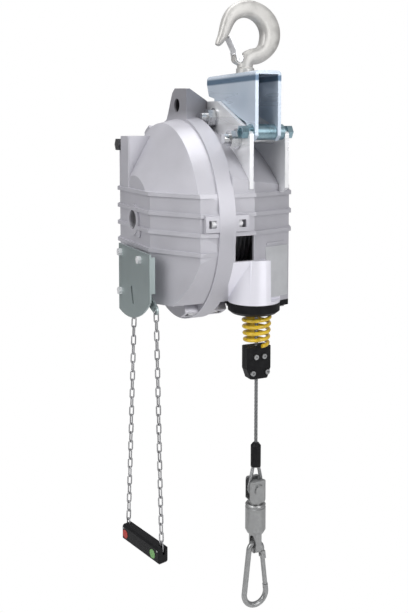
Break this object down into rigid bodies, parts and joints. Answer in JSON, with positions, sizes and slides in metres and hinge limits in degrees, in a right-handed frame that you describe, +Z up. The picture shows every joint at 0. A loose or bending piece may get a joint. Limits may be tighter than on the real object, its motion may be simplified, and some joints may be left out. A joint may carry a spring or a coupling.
{
  "type": "spring balancer",
  "caption": "Heavy tool balancer: two-part cast housing on a swivel hook, conical rope drum, buffered rope with swivel snap hook, and a chain-pulled drum lock with handle.",
  "frame": {"origin": "crown of the suspension hook's bowl, where the hook rests on its support", "axes": "+Z up; +X to the rope side; Y along the drum axis"},
  "size_m": [0.3, 0.2311, 0.8791],
  "materials": {
    "housing_cast": "satin painted casting",
    "zinc_bright": "bright zinc",
    "zinc_blue": "blue passivated zinc",
    "zinc_teal": "clear passivated zinc",
    "plate_label": "bare plate",
    "forged_satin": "satin forging",
    "drum_alloy": "machined",
    "black_plastic": "moulded",
    "spring_yellow": "gloss",
    "rope_steel": "stranded wire",
    "machine_steel": "machined",
    "galvanised": "galvanised",
    "chain_zinc": "zinc plated wire",
    "red_marker": "gloss",
    "green_marker": "gloss"
  },
  "bodies": {
    "housing": {"left_shell": "housing_cast", "right_shell": "housing_cast", "clamp_bolts": "zinc_bright", "nameplate": "plate_label", "left_ear": "zinc_bright", "right_ear": "zinc_bright", "ear_bolts": "zinc_bright", "suspension_yoke": "zinc_blue", "yoke_bolt": "zinc_bright", "worm_housing": "housing_cast", "tower_plug": "machine_steel", "lock_bracket": "zinc_teal", "bracket_bolts": "zinc_bright", "rope_guide": "black_plastic", "guide_screws": "machine_steel", "rope_lead": "rope_steel"},
    "hook": {"top_hook": "forged_satin", "hook_nut": "zinc_bright", "hook_bearing": "zinc_bright", "latch_pin": "zinc_bright"},
    "latch": {"hook_latch": "zinc_bright"},
    "drum": {"rope_drum": "drum_alloy", "rope_on_drum": "rope_steel", "spring_cassette": "machine_steel", "power_spring": "machine_steel", "locking_ring": "machine_steel", "drum_bearings": "machine_steel"},
    "arbor": {"spring_arbor": "machine_steel", "worm_wheel": "machine_steel"},
    "worm": {"worm_shaft": "machine_steel"},
    "lever": {"lock_lever": "zinc_teal", "lock_shaft": "machine_steel", "lock_pawl": "machine_steel"},
    "left_chain_run": {"lock_chain": "chain_zinc"},
    "right_chain_run": {"release_chain": "chain_zinc"},
    "handle": {"pull_handle": "black_plastic", "handle_pins": "machine_steel", "lock_marker": "red_marker", "release_marker": "green_marker"},
    "rope": {"pulled_rope": "rope_steel", "wire_rope": "rope_steel", "buffer_spring": "spring_yellow", "clamp_front": "black_plastic", "clamp_back": "black_plastic", "clamp_screws": "machine_steel", "rope_ferrule": "black_plastic", "rope_eye": "rope_steel", "thimble": "machine_steel", "swivel_fork": "galvanised", "fork_pin": "galvanised"},
    "swivel": {"swivel_barrel": "galvanised"},
    "snap": {"snap_hook": "galvanised", "gate_pin": "galvanised"},
    "gate": {"snap_gate": "galvanised"}
  },
  "joints": [
    {"name": "hook_swivel", "type": "hinge", "parent": "housing", "child": "hook", "pos_m": [0, 0, -0.078], "axis": [0, 0, 1], "continuous": true},
    {"name": "hook_latch_pivot", "type": "hinge", "parent": "hook", "child": "latch", "pos_m": [0, -0.0125, -0.058], "axis": [1, 0, 0], "range_deg": [-45, 0], "stiffness_Nm_per_rad": 0.05, "springref_deg": 5.73},
    {"name": "drum_spin", "type": "hinge", "parent": "housing", "child": "drum", "pos_m": [-0.076, -0.063, -0.288], "axis": [0, 1, 0], "range_deg": [0, 1110], "stiffness_Nm_per_rad": 0.4, "springref_deg": -458.37},
    {"name": "rope_travel", "type": "slide", "parent": "housing", "child": "rope", "axis": [0, 0, -1], "range_m": [0, 1.99], "deforming": ["pulled_rope"]},
    {"name": "spring_tension", "type": "hinge", "parent": "housing", "child": "arbor", "pos_m": [-0.076, -0.063, -0.288], "axis": [0, 1, 0], "range_deg": [0, 72]},
    {"name": "tension_worm", "type": "hinge", "parent": "housing", "child": "worm", "pos_m": [-0.114, -0.125, -0.288], "axis": [0, 0, -1], "range_deg": [0, 2160]},
    {"name": "lock_lever_tilt", "type": "hinge", "parent": "housing", "child": "lever", "pos_m": [-0.022, -0.1455, -0.386], "axis": [0, -1, 0], "range_deg": [0, 12]},
    {"name": "lock_chain_hang", "type": "hinge", "parent": "lever", "child": "left_chain_run", "pos_m": [-0.065, -0.1455, -0.40425], "axis": [0, -1, 0], "range_deg": [-12, 0]},
    {"name": "release_chain_hang", "type": "hinge", "parent": "lever", "child": "right_chain_run", "pos_m": [0.021, -0.1455, -0.40425], "axis": [0, -1, 0], "range_deg": [-12, 0]},
    {"name": "handle_tilt", "type": "hinge", "parent": "left_chain_run", "child": "handle", "pos_m": [-0.07179, -0.15561, -0.7473], "axis": [0.2351, -0.972, 0], "range_deg": [0, 12]},
    {"name": "load_swivel", "type": "hinge", "parent": "rope", "child": "swivel", "pos_m": [0.034, 0.002, -0.708], "axis": [0, 0, 1], "continuous": true},
    {"name": "snap_swing", "type": "hinge", "parent": "swivel", "child": "snap", "pos_m": [0.034, 0.002, -0.7566], "axis": [0, 1, 0], "range_deg": [-60, 60]},
    {"name": "gate_pivot", "type": "hinge", "parent": "snap", "child": "gate", "pos_m": [0.034, 0.01357, -0.7769], "axis": [1, 0, 0], "range_deg": [-30, 0], "stiffness_Nm_per_rad": 0.03, "springref_deg": 5.73}
  ],
  "couplings": [
    {"joint": "rope_travel", "follows": "drum_spin", "m_per_rad": 0.1025},
    {"joint": "tension_worm", "follows": "spring_tension", "ratio": 30},
    {"joint": "lock_chain_hang", "follows": "lock_lever_tilt", "ratio": -1},
    {"joint": "release_chain_hang", "follows": "lock_lever_tilt", "ratio": -1},
    {"joint": "handle_tilt", "follows": "lock_lever_tilt", "ratio": 1}
  ]
}
